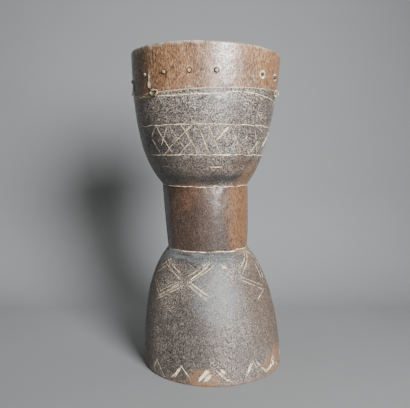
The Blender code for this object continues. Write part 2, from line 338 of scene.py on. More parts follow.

# %% Group: one round spot
def make_spot():
    group, inside, outside = start_group(
        "round_spot",
        {"X": 0.0, "Y": 0.0, "Z": 0.0, "Radius": 0.02, "Flatness": 1.0, "Fineness": 60.0}, ["Mask"])
    place = group.nodes.new("ShaderNodeTexCoord")
    centre = group.nodes.new("ShaderNodeCombineXYZ")
    for label in "XYZ":
        group.links.new(inside.outputs[label], centre.inputs[label])
    away = group.nodes.new("ShaderNodeVectorMath")
    away.operation = "SUBTRACT"
    group.links.new(place.outputs["Object"], away.inputs[0])
    group.links.new(centre.outputs["Vector"], away.inputs[1])
    squash = group.nodes.new("ShaderNodeCombineXYZ")
    squash.inputs["X"].default_value = 1.0
    squash.inputs["Y"].default_value = 1.0
    group.links.new(inside.outputs["Flatness"], squash.inputs["Z"])
    scaled = group.nodes.new("ShaderNodeVectorMath")
    scaled.operation = "MULTIPLY"
    group.links.new(away.outputs["Vector"], scaled.inputs[0])
    group.links.new(squash.outputs["Vector"], scaled.inputs[1])
    length = group.nodes.new("ShaderNodeVectorMath")
    length.operation = "LENGTH"
    group.links.new(scaled.outputs["Vector"], length.inputs[0])
    share = math_node(group, "DIVIDE", length.outputs["Value"], inside.outputs["Radius"])
    near = math_node(group, "SUBTRACT", 1.0, share)
    uneven = noise_node(group, place.outputs["Object"], inside.outputs["Fineness"], 4.0, 0.65)
    ragged = math_node(group, "ADD", near, math_node(group, "SUBTRACT", uneven, 0.62))
    group.links.new(contrast(group, ragged, -0.05, 0.25), outside.inputs["Mask"])
    return group


ROUND_SPOT = make_spot()
print("shader groups:", [g.name for g in bpy.data.node_groups])

# %% [markdown]
# ## Building a finish
#
# A finish is a stack of colours, each laid over the last through a mask, like stain, wear and dust on
# the real wood. The helper class keeps the stack short to write: start with one colour, then lay
# others over it. Small dents come from a bump, which tilts the light and moves no surface.

# %% A stack of colours
class Finish:
    def __init__(self, name, roughness, specular=0.5):
        self.material = bpy.data.materials.new(name)
        self.material.use_nodes = True
        self.tree = self.material.node_tree
        self.shader = self.tree.nodes["Principled BSDF"]
        self.shader.inputs["Roughness"].default_value = roughness
        self.shader.inputs["Specular IOR Level"].default_value = specular
        self.place = self.tree.nodes.new("ShaderNodeTexCoord").outputs["Object"]
        self.color = None

    def group(self, kind, **values):
        node = self.tree.nodes.new("ShaderNodeGroup")
        node.node_tree = kind
        for label, value in values.items():
            node.inputs[label].default_value = value
        return node.outputs

    def zone(self, low, high, blur, waver=0.004, **others):
        return self.group(HEIGHT_ZONE, Low=low, High=high, Blur=blur, Waver=waver, **others)["Mask"]

    def blend(self, mask, dark, light):
        node = self.tree.nodes.new("ShaderNodeMix")
        node.data_type = "RGBA"
        self.tree.links.new(mask, node.inputs["Factor"])
        for socket, color in ((node.inputs["A"], dark), (node.inputs["B"], light)):
            if isinstance(color, tuple):
                socket.default_value = (*color, 1.0)
            else:
                self.tree.links.new(color, socket)
        return node.outputs["Result"]

    def lay(self, mask, color):
        self.color = self.blend(mask, self.color, color)

    def times(self, first, second):
        return math_node(self.tree, "MULTIPLY", first, second, clamp=True)

    def more(self, start, mask, amount):
        """Adds amount times a mask. A negative amount takes away."""
        return math_node(self.tree, "ADD", start, math_node(self.tree, "MULTIPLY", mask, amount))

    def noise(self, scale, low=0.4, high=0.6):
        return contrast(self.tree, noise_node(self.tree, self.place, scale, 3.0, 0.6), low, high)

    def bump(self, height, strength, distance, normal="Normal"):
        bump = self.tree.nodes.new("ShaderNodeBump")
        bump.inputs["Strength"].default_value = strength
        bump.inputs["Distance"].default_value = distance
        self.tree.links.new(height, bump.inputs["Height"])
        self.tree.links.new(bump.outputs["Normal"], self.shader.inputs[normal])

    def done(self, height=None, strength=0.3, distance=0.001):
        self.tree.links.new(self.color, self.shader.inputs["Base Color"])
        if height is not None:
            self.bump(height, strength, distance)
        return self.material


# %% [markdown]
# ## The wood of the drum
#
# The carved parts were stained nearly black and have gone grey with age. So the finish starts almost
# black, and a fine pale crackle over it makes the grey. On the top band, the waist and the foot's edge
# the red-brown wood shows. Zones of height divide these looks, as they do on the real drum. A clear
# coat stands for the shine of handled wood. It is weaker and duller on the foot, which is dusty.

# %% Colours of the wood
STAIN_DARK_AND_SHADE = (0.004, 0.003, 0.002)
STAIN_GREY = (0.060, 0.046, 0.039)
STAIN_BROWN = (0.085, 0.042, 0.022)
STAIN_PALE = (0.840, 0.720, 0.600)
RING_BLUE_AND_SHEEN = (0.150, 0.165, 0.175)
RING_DARK = (0.010, 0.008, 0.006)
BAND_DARK = (0.055, 0.017, 0.006)
BAND_LIGHT = (0.340, 0.160, 0.065)
WAIST_DARK = (0.014, 0.006, 0.003)
WAIST_LIGHT = (0.120, 0.050, 0.022)
FOOT_DUST = (0.130, 0.102, 0.084)
WOOD_PALE = (0.700, 0.560, 0.400)
WOOD_ORANGE = (0.340, 0.155, 0.058)
# The blue spot at 5 degrees low on the foot is a painted sheen; the other spots are wear and stain.
# Three dark spots, at -55 and -60 degrees, are painted shade on the left, the side away from the light.
SPOTS_OF_WEAR_SHADE_AND_SHEEN = (
    (on_wall(42, 0.392), 0.034, 1.6, STAIN_BROWN), (on_wall(58, 0.560), 0.060, 1.2, WOOD_ORANGE),
    (on_wall(28, 0.574), 0.040, 2.0, WOOD_ORANGE), (on_wall(-28, 0.550), 0.060, 1.2, WOOD_ORANGE),
    (on_wall(62, 0.290), 0.060, 0.5, WOOD_ORANGE), (on_wall(-25, 0.330), 0.040, 0.9, WAIST_LIGHT),
    (on_wall(-55, 0.385), 0.075, 0.9, STAIN_DARK_AND_SHADE), (on_wall(-5, 0.240), 0.055, 0.5, STAIN_DARK_AND_SHADE),
    (on_wall(-60, 0.560), 0.050, 0.6, STAIN_DARK_AND_SHADE), (on_wall(62, 0.130), 0.080, 0.7, STAIN_BROWN),
    (on_wall(-60, 0.420), 0.080, 1.0, STAIN_DARK_AND_SHADE), (on_wall(-20, 0.075), 0.060, 0.5, STAIN_DARK_AND_SHADE),
    (on_wall(5, 0.150), 0.050, 0.8, RING_BLUE_AND_SHEEN), (on_wall(60, 0.020), 0.050, 1.4, WOOD_ORANGE),
    (on_wall(-8, 0.012), 0.040, 1.6, WOOD_ORANGE))
print("worn places:", len(SPOTS_OF_WEAR_SHADE_AND_SHEEN))

# %% [markdown]
# ## One wood, several looks
#
# The whole outside of the body is one finish, and masks say where each look lies on it. The stain and
# its crackle are laid first, then the spots, the fine cracks and the pits. Most spots are wear, three
# on the left are painted shade and one on the foot is a painted sheen. The clear coat comes last,
# because it covers everything.

# %% Where each look lies
BELOW_ALL, ABOVE_ALL = -1.0, 1.0
FOOT_EDGE_TOP = 0.008
FOOT_TOP = 0.200
SHOULDER_RING_LOW = 0.208
BOWL_RING_TOP = 0.369
LOW_BOWL_TOP = 0.396
PALE_RIM = 0.004
STEP_LINE = 0.0006


class WoodMasks:
    def __init__(self, wood):
        speckle = wood.group(OLD_SPECKLE, Fineness=430.0, Patches=26.0)
        self.speckle = speckle["Mask"]
        self.patch = speckle["Patch"]
        self.crackle = wood.group(WORN_CRACKLE, Fineness=330.0, Line=0.048)["Mask"]
        self.broad = wood.group(GRAIN_STREAKS, Fineness=40.0, Stretch=0.16)["Mask"]
        self.fine = wood.group(GRAIN_STREAKS, Fineness=420.0, Stretch=0.36)["Mask"]
        self.level_marks = wood.group(GRAIN_STREAKS, Fineness=24.0, Stretch=12.0)["Mask"]
        self.rim = wood.zone(RIM_Z - PALE_RIM, ABOVE_ALL, 0.006, 0.012, Fineness=45.0)
        self.band = wood.zone(BAND_Z, ABOVE_ALL, 0.0016, 0.002, Tilt=BAND_TILT)
        self.band_edge = wood.zone(BAND_Z - STEP_LINE, BAND_Z + STEP_LINE, 0.0008, 0.0012, Tilt=BAND_TILT)
        self.low_bowl_stain_and_shade = wood.zone(BOWL_Z, LOW_BOWL_TOP, 0.020, 0.010)
        self.bowl_ring = wood.zone(BOWL_Z, BOWL_RING_TOP, 0.012, 0.010)
        self.waist = wood.zone(WAIST_Z + 0.001, BOWL_Z - 0.001, 0.003, 0.003)
        self.shoulder_ring = wood.zone(SHOULDER_RING_LOW, WAIST_Z, 0.004)
        self.foot = wood.zone(BELOW_ALL, FOOT_TOP, 0.030)
        self.foot_edge = wood.zone(BELOW_ALL, FOOT_EDGE_TOP, 0.014, 0.026)
        self.polished = math_node(wood.tree, "MAXIMUM", self.band, self.waist)
        self.pits = wood.times(wood.noise(330.0, 0.60, 0.66), wood.more(0.75, self.polished, -0.40))


# %% Stain and crackle
def lay_stain(wood, at):
    grain = wood.times(wood.more(at.broad, at.fine, 1.0), 0.5)
    wood.color = wood.blend(at.speckle, STAIN_DARK_AND_SHADE, STAIN_GREY)
    wood.lay(wood.times(at.patch, 0.40), STAIN_BROWN)
    # The low bowl is darkened partly by its own stain and partly as painted shade on its downward-facing
    # underside.
    wood.lay(wood.times(at.low_bowl_stain_and_shade, 0.80), wood.blend(at.level_marks, STAIN_DARK_AND_SHADE, STAIN_BROWN))
    wood.lay(at.bowl_ring, wood.blend(wood.times(at.level_marks, at.speckle), RING_DARK, STAIN_GREY))
    wood.lay(at.shoulder_ring, wood.blend(at.level_marks, RING_DARK, RING_BLUE_AND_SHEEN))
    wood.lay(wood.times(at.foot_edge, 0.7), wood.blend(grain, BAND_DARK, BAND_LIGHT))
    wood.lay(at.band, wood.blend(grain, BAND_DARK, BAND_LIGHT))
    wood.lay(at.waist, wood.blend(grain, WAIST_DARK, WAIST_LIGHT))


def lay_crackle(wood, at):
    """The crackle is weaker where the wood is bare, where the stain is dense and on the low bowl, whose
    darkening is partly painted shade; dust dulls the foot.
    """
    lines = 1.0
    for zone, less in ((at.band, 0.72), (at.waist, 0.80), (at.low_bowl_stain_and_shade, 0.45), (at.bowl_ring, 0.50),
                       (at.shoulder_ring, 0.60)):
        lines = wood.more(lines, zone, -less)
    uneven = wood.more(0.5, wood.noise(22.0, 0.35, 0.65), 0.5)
    wood.lay(wood.times(wood.times(at.crackle, lines), uneven), STAIN_PALE)
    wood.lay(wood.times(at.foot, 0.40), FOOT_DUST)


# %% Wear, painted shade and a painted sheen
def lay_wear_shade_and_sheen(wood, at):
    worn = wood.more(0.14, at.fine, 0.50)
    # Some spots are painted shade on the left and one is a painted sheen; they are laid like the wear.
    for (x, y, z), radius, flat, color in SPOTS_OF_WEAR_SHADE_AND_SHEEN:
        spot = wood.group(ROUND_SPOT, X=x, Y=y, Z=z, Radius=radius, Flatness=flat)["Mask"]
        wood.lay(wood.times(spot, worn), color)
    cracks = contrast(wood.tree, at.fine, 0.35, 0.10)
    wood.lay(wood.times(wood.times(cracks, at.polished), 0.6), STAIN_DARK_AND_SHADE)
    scratches = contrast(wood.tree, at.fine, 0.66, 0.92)
    wood.lay(wood.times(wood.times(scratches, at.band), 0.35), WOOD_PALE)
    wood.lay(at.pits, STAIN_DARK_AND_SHADE)
    wood.lay(wood.times(wood.times(at.band_edge, wood.noise(70.0, 0.35, 0.55)), 0.85), WOOD_PALE)
    wood.lay(wood.times(wood.times(at.rim, wood.noise(120.0, 0.35, 0.60)), 0.60), WOOD_PALE)


# %% Clear coat
COAT_IOR = 1.9


def add_coat(wood, at):
    """The coat is broken into small patches, and so shines unevenly, as a pitted surface does."""
    dull = wood.times(wood.noise(400.0, 0.46, 0.58), wood.more(0.8, at.foot, -0.5))
    polish = wood.times(wood.more(1.0, at.foot, -0.72), wood.more(1.0, dull, -1.0))
    rough = wood.more(0.30, at.speckle, 0.10)
    for mask, change in ((at.polished, -0.05), (at.waist, -0.05), (at.foot, 0.14)):
        rough = wood.more(rough, mask, change)
    wood.tree.links.new(polish, wood.shader.inputs["Coat Weight"])
    wood.tree.links.new(rough, wood.shader.inputs["Coat Roughness"])
    wood.shader.inputs["Coat IOR"].default_value = COAT_IOR
    wood.bump(wood.more(wood.noise(85.0, 0.25, 0.75), at.speckle, 0.4), 0.25, 0.0008, "Coat Normal")


# %% Stained wood
def make_stained_wood():
    wood = Finish("stained_wood", 0.55, 0.4)
    masks = WoodMasks(wood)
    lay_stain(wood, masks)
    lay_crackle(wood, masks)
    lay_wear_shade_and_sheen(wood, masks)
    add_coat(wood, masks)
    height = wood.more(wood.more(masks.speckle, masks.fine, 0.6), masks.crackle, 1.0)
    height = wood.more(height, masks.pits, -1.0)
    return wood.done(height, 0.40, 0.0009)


STAINED_WOOD = make_stained_wood()
print("nodes in", STAINED_WOOD.name, "are", len(STAINED_WOOD.node_tree.nodes))

# %% [markdown]
# ## Knife lines and the raw inside
#
# A fresh cut goes through the stain into pale wood, and the cuts on this drum have filled with pale
# dust since, so their faces get a finish of their own. The inside was hollowed with an adze and never
# stained, and only shows from above and below. The dishes round the pegs get a dark finish that is
# painted shade.

# %% Cut lines and inside wood
def make_cut_line():
    cut = Finish("cut_line", 0.7)
    cut.color = cut.blend(cut.noise(260.0, 0.30, 0.56), (0.190, 0.120, 0.070), (0.950, 0.810, 0.580))
    cut.lay(cut.times(cut.noise(70.0, 0.50, 0.66), 0.75), STAIN_BROWN)
    return cut.done(cut.noise(600.0), 0.3, 0.0004)


def make_inside_wood():
    inner = Finish("inside_wood", 0.7)
    streaks = inner.group(GRAIN_STREAKS, Fineness=70.0, Stretch=0.06)["Mask"]
    inner.color = inner.blend(streaks, (0.120, 0.070, 0.040), (0.300, 0.190, 0.110))
    inner.lay(inner.noise(24.0, 0.5, 0.7), (0.090, 0.055, 0.035))
    return inner.done(streaks, 0.3, 0.0008)


# The dark dish finish round the pegs is painted shade.
def make_bruised_wood():
    bruise = Finish("bruised_wood", 0.6)
    bruise.color = bruise.blend(bruise.noise(300.0), (0.012, 0.007, 0.004), (0.090, 0.048, 0.026))
    return bruise.done(bruise.noise(500.0), 0.3, 0.0004)


CUT_LINE = make_cut_line()
PEG_DISH_SHADE = make_bruised_wood()
INSIDE_WOOD = make_inside_wood()
print("wood finishes:", STAINED_WOOD.name, CUT_LINE.name, PEG_DISH_SHADE.name, INSIDE_WOOD.name)

# %% [markdown]
# ## The body: a turned wall
#
# The drum was carved and not turned, but it is nearly round, so a spun profile is the quickest true
# start. The profile runs down the hollow, round the foot and up the outside to the rim. It is spun with
# enough steps that the carver's hollows can be pushed into the surface afterwards.

# %% Profile of the hollow and the wall
BODY_STEPS = 240
EDGE_ROUND = 0.0030
HOLLOW_ROW = 0.014
FOOT_ROW = 0.0036
WAIST_ROW = 0.0050
BOWL_ROW = 0.0033
BAND_ROW = 0.0038


def stretch(low, high, step):
    count = max(1, round(abs(high - low) / step))
    return [low + (high - low) * i / count for i in range(count)]


def hollow_radius(z):
    if z < FOOT_CAVITY_HEIGHT:
        share, wall = z / FOOT_CAVITY_HEIGHT, FOOT_WALL
    elif z > RIM_Z - BOWL_DEPTH:
        share, wall = (RIM_Z - z) / BOWL_DEPTH, RIM_WALL
    else:
        return BORE_RADIUS
    return BORE_RADIUS + (outer_radius(z) - wall - BORE_RADIUS) * (1.0 - share ** 8)


def round_edge(radius, z, side, over):
    """A quarter round at the mouth: side is 1 for the outer edge, over is 1 at the rim and -1 at the foot."""
    points = []
    for i in range(4):
        turn = math.radians(90 * i / 3)
        inward, down = EDGE_ROUND * (1 - math.cos(turn)), EDGE_ROUND * (1 - math.sin(turn))
        points.append((radius - side * inward, z - over * down))
    return points


def wall_profile():
    points = [(hollow_radius(z), z) for z in stretch(RIM_Z - EDGE_ROUND, EDGE_ROUND, HOLLOW_ROW)]
    points += round_edge(FOOT_RADIUS - FOOT_WALL, 0.0, -1, -1)
    points += reversed(round_edge(FOOT_RADIUS, 0.0, 1, -1))
    points += [(outer_radius(z), z) for z in stretch(EDGE_ROUND + 0.002, WAIST_Z, FOOT_ROW)]
    points += [(outer_radius(z), z) for z in stretch(WAIST_Z, BOWL_Z, WAIST_ROW)]
    points += [(outer_radius(z), z) for z in stretch(BOWL_Z, BAND_Z - 0.001, BOWL_ROW)]
    points += [(outer_radius(z), z) for z in stretch(BAND_Z, RIM_Z - EDGE_ROUND, BAND_ROW)]
    points += round_edge(RIM_RADIUS, RIM_Z, 1, 1)
    points += reversed(round_edge(RIM_RADIUS - RIM_WALL, RIM_Z, -1, 1))
    return points


profile = wall_profile()
print("profile points:", len(profile))

# %% Spin the wall
def spin_wall(points, steps):
    bm = bmesh.new()
    corners = [bm.verts.new((radius, 0.0, z)) for radius, z in points]
    edges = [bm.edges.new(pair) for pair in zip(corners, corners[1:] + corners[:1])]
    bmesh.ops.spin(bm, geom=corners + edges, axis=(0, 0, 1), cent=(0, 0, 0), angle=math.tau,
                   steps=steps, use_merge=True)
    bmesh.ops.remove_doubles(bm, verts=bm.verts, dist=1e-6)
    bmesh.ops.recalc_face_normals(bm, faces=bm.faces)
    return bm


# %% [markdown]
# ## The carver's hand
#
# The blade left shallow hollows all over, and the rim and the foot's edge are worn uneven. Each vertex
# is pushed in or out by smooth noise that depends on where it is. The step under the band is tilted
# here too, because it runs down to the left on the real drum.

# %% Push the surface about
SKIN_DEPTH = 0.006
WORN_FOOT_HEIGHT = 0.02
WORN_RIM_HEIGHT = 0.012
STEP_REACH = 0.022


def is_outside(x, y, z):
    return math.hypot(x, y) > outer_radius(z) - SKIN_DEPTH


def hand_shape(bm):
    for vertex in bm.verts:
        x, y, z = vertex.co
        radius = math.hypot(x, y)
        angle = math.degrees(math.atan2(x, -y))
        if is_outside(x, y, z):
            push = 0.00045 * wander(angle, z * 2.0, 9.0) + 0.00030 * wander(angle, z * 3.0, 26.0, 3.0)
            if z < WORN_FOOT_HEIGHT:
                push -= 0.0012 * max(0.0, wander(angle, z * 1.5, 12.0, 7.0)) * (1.0 - z / WORN_FOOT_HEIGHT)
        else:
            push = 0.0010 * wander(angle, z * 0.6, 7.0, 11.0)
        vertex.co.x += push * x / radius
        vertex.co.y += push * y / radius
        vertex.co.z += BAND_TILT * x * max(0.0, 1.0 - abs(z - BAND_Z) / STEP_REACH)
        if z > RIM_Z - WORN_RIM_HEIGHT:
            near = (z - RIM_Z + WORN_RIM_HEIGHT) / WORN_RIM_HEIGHT
            sag = 0.0010 * max(0.0, wander(angle, 0.0, 3.0, 5.0))
            sag += 0.0007 * max(0.0, wander(angle, 0.0, 14.0, 9.0))
            vertex.co.z -= near * sag
        if z < 0.0001:
            vertex.co.z = 0.0


# %% [markdown]
# ## Knife lines
#
# Each line is cut with a bar of V section that follows the wall, and the bars are taken away from the
# body with one exact Boolean. The bar's faces carry the cut-line finish, and the Boolean passes that
# finish to the groove. Its faces are split into triangles first, because a Boolean cuts flat faces most
# surely. The bars waver in height, width and depth, as a hand does.

# %% A bar that cuts one line
KNIVES = bpy.data.collections.new("knives")
bpy.context.scene.collection.children.link(KNIVES)
KNIFE_STEP = 0.006
BAR_OVER = 0.0010


def stations_along(path, step):
    """Even stations on a path of (angle, height) corners."""
    stations = []
    for (angle, z), (next_angle, next_z) in zip(path, path[1:]):
        length = math.hypot(math.radians(next_angle - angle) * outer_radius(z), next_z - z)
        count = max(2, round(length / step))
        stations += [(angle + (next_angle - angle) * i / count, z + (next_z - z) * i / count)
                     for i in range(count)]
    return stations + [path[-1]]


def bar_section(angle, z, along, width, depth):
    """Three corners of a V whose mouth is width wide where it meets the wall."""
    place = wall_frame(angle, z)
    out = place.col[2].to_3d()
    spread = width / 2 * (depth + BAR_OVER) / depth
    side = out.cross(along).normalized() * spread
    here = place.translation
    return here + out * BAR_OVER + side, here + out * BAR_OVER - side, here - out * depth


def knife(*path, width=0.0011, depth=0.0009, waver=0.0008, step=KNIFE_STEP, seed=0.0):
    """Cuts along a path of (angle, height) corners, thinning out at both ends."""
    stations = stations_along(path, step)
    last = len(stations) - 1
    bm = bmesh.new()
    bmesh.ops.create_circle(bm, cap_ends=True, segments=3, radius=0.001)
    face = bm.faces[:][0]
    for i, (angle, z) in enumerate(stations):
        if i:
            grown = bmesh.ops.extrude_face_region(bm, geom=[face])["geom"]
            if i > 1:
                bmesh.ops.delete(bm, geom=[face], context="FACES_ONLY")
            face = next(part for part in grown if isinstance(part, bmesh.types.BMFace))
        before, after = stations[max(i - 1, 0)], stations[min(i + 1, last)]
        along = on_wall(*after) - on_wall(*before)
        thin = min(1.0, 0.45 + 3.0 * min(i, last - i) / last)
        pressed = thin * (1.0 + 0.35 * noise.noise(Vector((angle * 0.35, z * 160.0, seed + 4.0))))
        shaken = z + waver * noise.noise(Vector((angle * 0.16, z * 60.0, seed)))
        corners = bar_section(angle, shaken, along, width * pressed, depth * pressed)
        for vertex, corner in zip(face.verts, corners):
            vertex.co = corner
    bmesh.ops.triangulate(bm, faces=bm.faces)
    bmesh.ops.recalc_face_normals(bm, faces=bm.faces)
    KNIVES.objects.link(bpy.data.objects.new("knife_bar", mesh_from(bm, "knife_bar", CUT_LINE)))


# %% [markdown]
# ## Ring lines
#
# Level lines divide the drum: one under the top band, two round the lattice, and one at each end of the
# waist. The carver came back to where each began, a little off, so a ring is one long stroke whose ends
# cross.

# %% Ring lines
knife((-181, 0.5025), (-100, 0.5030), (-35, 0.5015), (-22, 0.5005), (3, 0.5025), (14, 0.5040), (27, 0.5075),
      (40, 0.5060), (57, 0.5020), (72, 0.4995), (110, 0.5010), (182, 0.5030), width=0.0018, depth=0.0012,
      waver=0.0012, step=0.010, seed=25)
for z, width, depth in ((0.453, 0.0012, 0.0009), (0.402, 0.0013, 0.0009), (0.3455, 0.0010, 0.0008),
                        (0.2265, 0.0011, 0.0008)):
    knife((-181, z), (0, z), (182, z + 0.0004), width=width, depth=depth, waver=0.0026, step=0.010,
          seed=z * 50)

# %% [markdown]
# ## The lattice
#
# Between two of the rings runs a band of crossed lines. At the front their places are read off the
# drum, stroke by stroke, and round the back the same rhythm goes on.

# %% Lattice strokes
LATTICE_TOP, LATTICE_LOW = 0.453, 0.402
FALLING = [(-42, LATTICE_TOP, -29, 0.406), (-29, LATTICE_TOP, -22, 0.429), (-20, 0.424, -15, 0.410),
           (-18, LATTICE_TOP, -4, LATTICE_LOW), (-4, 0.449, 5, LATTICE_LOW),
           (3, LATTICE_TOP, 15, LATTICE_LOW), (14, 0.450, 21, 0.418), (22, 0.448, 36, LATTICE_LOW),
           (45, 0.450, 59, LATTICE_LOW), (54, LATTICE_TOP, 57, 0.441), (-49, 0.430, -42, LATTICE_LOW),
           (42, 0.412, 46, LATTICE_LOW)]
RISING = [(-42, 0.450, -50, 0.433), (-29, LATTICE_TOP, -39, 0.418), (-8, LATTICE_TOP, -24, 0.424),
          (-24, 0.424, -38, LATTICE_LOW), (-6, 0.432, -22, LATTICE_LOW), (39, 0.434, 34, 0.422),
          (56, 0.428, 45, LATTICE_LOW), (79, 0.446, 66, 0.417), (-8, 0.413, -13, LATTICE_LOW)]
for n, (top_angle, top, low_angle, low) in enumerate(FALLING + RISING):
    knife((top_angle, top), (low_angle, low), seed=n)
for n in range(15):
    angle = 72 + 15.4 * n + 1.5 * wander(n * 37.0, 0.1, 3.0)
    knife((angle, LATTICE_TOP), (angle + 11.5, LATTICE_LOW), seed=n + 30)
    if n % 2 == 0:
        knife((angle + 12, LATTICE_TOP - 0.002), (angle - 2, LATTICE_LOW), seed=n + 60)
knife((20, 0.449), (11, 0.427), width=0.0030, depth=0.0016, seed=90)
knife((80, 0.446), (68, 0.418), width=0.0026, depth=0.0014, seed=91)
knife((5, 0.381), (18, 0.3805), width=0.0010, depth=0.0008, seed=92)
knife((-45, 0.3815), (-36, 0.381), width=0.0010, depth=0.0008, seed=93)

# %% [markdown]
# ## Crosses on the shoulder and chevrons on the foot
#
# Doubled lines cross on the shoulder below the waist. The second cross has no lower left arm: the
# carver left it out, and so does this cell. Short single lines stand as chevrons on the foot's edge,
# with wider gouges between them.

# %% Doubled strokes
def doubled(start, end, pitch=0.0080, turned=1.0, seed=0.0):
    """Two strokes side by side: the second lies pitch lower and its ends come in by turned degrees."""
    inward = turned if end[0] > start[0] else -turned
    second = (start[0] + inward, start[1] - pitch), (end[0] - inward, end[1] - pitch)
    knife(start, end, width=0.0008, depth=0.0007, seed=seed)
    knife(*second, width=0.0008, depth=0.0007, seed=seed + 0.5)


doubled((-58, 0.211), (-28, 0.190), 0.0080, seed=1)
doubled((5, 0.213), (-18, 0.182), 0.0066, -2.5, seed=3)
doubled((-26, 0.178), (-55, 0.144), 0.0070, -1.5, seed=5)
doubled((-19, 0.179), (0, 0.156), 0.0066, seed=7)
doubled((13, 0.209), (26, 0.190), 0.0066, 1.5, seed=9)
knife((57, 0.224), (55, 0.217), (33, 0.192), width=0.0017, depth=0.0013, seed=11)
knife((63, 0.222), (59, 0.214), (38, 0.190), width=0.0013, depth=0.0011, seed=12)
doubled((34, 0.184), (63, 0.159), 0.0070, 1.0, seed=13)
knife((60, 0.223), (70, 0.216), (77, 0.207), (77, 0.192), (74, 0.177), (68, 0.162), width=0.0012,
      depth=0.0010, seed=15)
knife((67, 0.199), (66, 0.170), seed=17)
knife((62, 0.153), (48, 0.140), seed=18)
knife((15, 0.205), (21, 0.198), width=0.0028, depth=0.0012, seed=19)
for n in range(5):
    centre = 133 + 50.8 * n
    doubled((centre - 30, 0.212), (centre - 3, 0.187), seed=20 + n)
    doubled((centre + 25, 0.212), (centre + 3, 0.187), seed=30 + n)
    doubled((centre + 3, 0.180), (centre + 25, 0.153), seed=40 + n)
    doubled((centre - 3, 0.180), (centre - 30, 0.153), seed=50 + n)

# %% Chevrons
CHEVRONS = [(-50, 0.032, -55, 0.010, -41, 0.004), (-24.5, 0.034, -34, 0.008, -18, 0.014),
            (0, 0.036, -12, 0.008, 14, 0.007), (33, 0.039, 26, 0.013, 37, 0.022),
            (57, 0.033, 48, 0.008, 66, 0.008)]
CHEVRONS += [(57 + 25.1 * n, 0.036, 47 + 25.1 * n, 0.008, 67 + 25.1 * n, 0.007) for n in range(1, 10)]
for n, (peak, top, left, left_low, right, right_low) in enumerate(CHEVRONS):
    knife((peak + 0.8, top), (left, left_low), width=0.0013, depth=0.0011, seed=100 + n)
    knife((peak - 0.8, top), (right, right_low), width=0.0013, depth=0.0011, seed=130 + n)
GOUGES = [((-3, 0.031), (-11, 0.010), 0.0075), ((-1, 0.025), (-7, 0.010), 0.0060),
          ((-26, 0.028), (-31, 0.011), 0.0050), ((6, 0.031), (9, 0.024), 0.0055),
          ((3, 0.028), (11, 0.010), 0.0026), ((31, 0.035), (26, 0.014), 0.0050),
          ((36, 0.036), (40, 0.024), 0.0045), ((47, 0.012), (57, 0.018), 0.0050),
          ((56, 0.026), (58, 0.014), 0.0046), ((41, 0.022), (47, 0.009), 0.0034),
          ((-52, 0.026), (-54, 0.014), 0.0040)]
for n, (top, low, width) in enumerate(GOUGES):
    knife(top, low, width=width, depth=0.0012, seed=160 + n)

# %% [markdown]
# ## Dark rings round the pegs
#
# Every peg sits in a shallow dish painted dark, as painted shade round the peg. Round two pegs at the
# right front the wood is rubbed bare, and there the dish is wide and pale.
# A dish is cut with a short cone, together with the knife lines.

# %% Dishes for the pegs
PEG_Z = 0.539
PEG_RADIUS = 0.0034
PEG_STAND = 0.0026
PEG_ROOT = 0.006
DISH_BOTTOM = 0.0036
DISH_DEPTH = 0.0026
DISH_WIDE = 0.0062
BARE_DISH_WIDE = 0.0098
BARE_FROM, BARE_TO = 40, 70


def peg_angle(node):
    low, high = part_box(node)
    middle = (low + high) / 2
    return math.degrees(math.atan2(middle.x - centre_x(PEG_Z), -middle.y))


def is_bare(angle):
    return BARE_FROM < angle < BARE_TO


def cut_dish(angle):
    # Dishes away from the bare pegs take the dark finish, which is painted shade.
    wide, finish = (BARE_DISH_WIDE, CUT_LINE) if is_bare(angle) else (DISH_WIDE, PEG_DISH_SHADE)
    bm = bmesh.new()
    bmesh.ops.create_cone(bm, cap_ends=True, segments=20, radius1=DISH_BOTTOM, radius2=wide, depth=DISH_DEPTH)
    for vertex in bm.verts:
        vertex.co += 0.0004 * noise.noise_vector(vertex.co * 150.0 + Vector((angle, 0.0, 0.0)))
    bm.transform(wall_frame(angle, PEG_Z))
    bmesh.ops.triangulate(bm, faces=bm.faces)
    bmesh.ops.recalc_face_normals(bm, faces=bm.faces)
    KNIVES.objects.link(bpy.data.objects.new("dish", mesh_from(bm, "dish", finish)))


peg_angles = {node: peg_angle(node) for node in sorted(frame["nodes"]) if node.startswith("peg_")}
for angle in peg_angles.values():
    cut_dish(angle)
print("pegs:", {node: round(angle, 1) for node, angle in peg_angles.items()})

# %% [markdown]
# ## Cut, and keep the result
#
# The Boolean is applied here and the bars are thrown away, so that the finished body is one plain mesh
# with the grooves in it.

# %% Carve the body
def carve_body():
    bm = spin_wall(profile, BODY_STEPS)
    hand_shape(bm)
    for face in bm.faces:
        x, y, z = face.calc_center_median()
        if not is_outside(x, y, z) and z < RIM_Z - 0.001:
            face.material_index = 1
    lean(bm.verts)
    blank = bpy.data.objects.new("blank", mesh_from(bm, "blank", STAINED_WOOD, INSIDE_WOOD, CUT_LINE))
    bpy.context.scene.collection.objects.link(blank)
    cut = blank.modifiers.new("knife lines", "BOOLEAN")
    cut.operation = "DIFFERENCE"
    cut.solver = "EXACT"
    cut.material_mode = "TRANSFER"
    cut.operand_type = "COLLECTION"
    cut.collection = KNIVES
    bpy.context.view_layer.update()
    carved = bpy.data.meshes.new_from_object(blank.evaluated_get(bpy.context.evaluated_depsgraph_get()))
    bpy.data.objects.remove(blank)
    for bar in list(KNIVES.objects):
        bpy.data.objects.remove(bar)
    bpy.data.collections.remove(KNIVES)
    return carved


carved_mesh = carve_body()
carved_mesh.name = "carved_body"
add_piece("carved_body", carved_mesh, ["drum_body"])
print("body triangles:", sum(len(polygon.vertices) - 2 for polygon in carved_mesh.polygons))
print("body finishes:", [material.name for material in carved_mesh.materials])

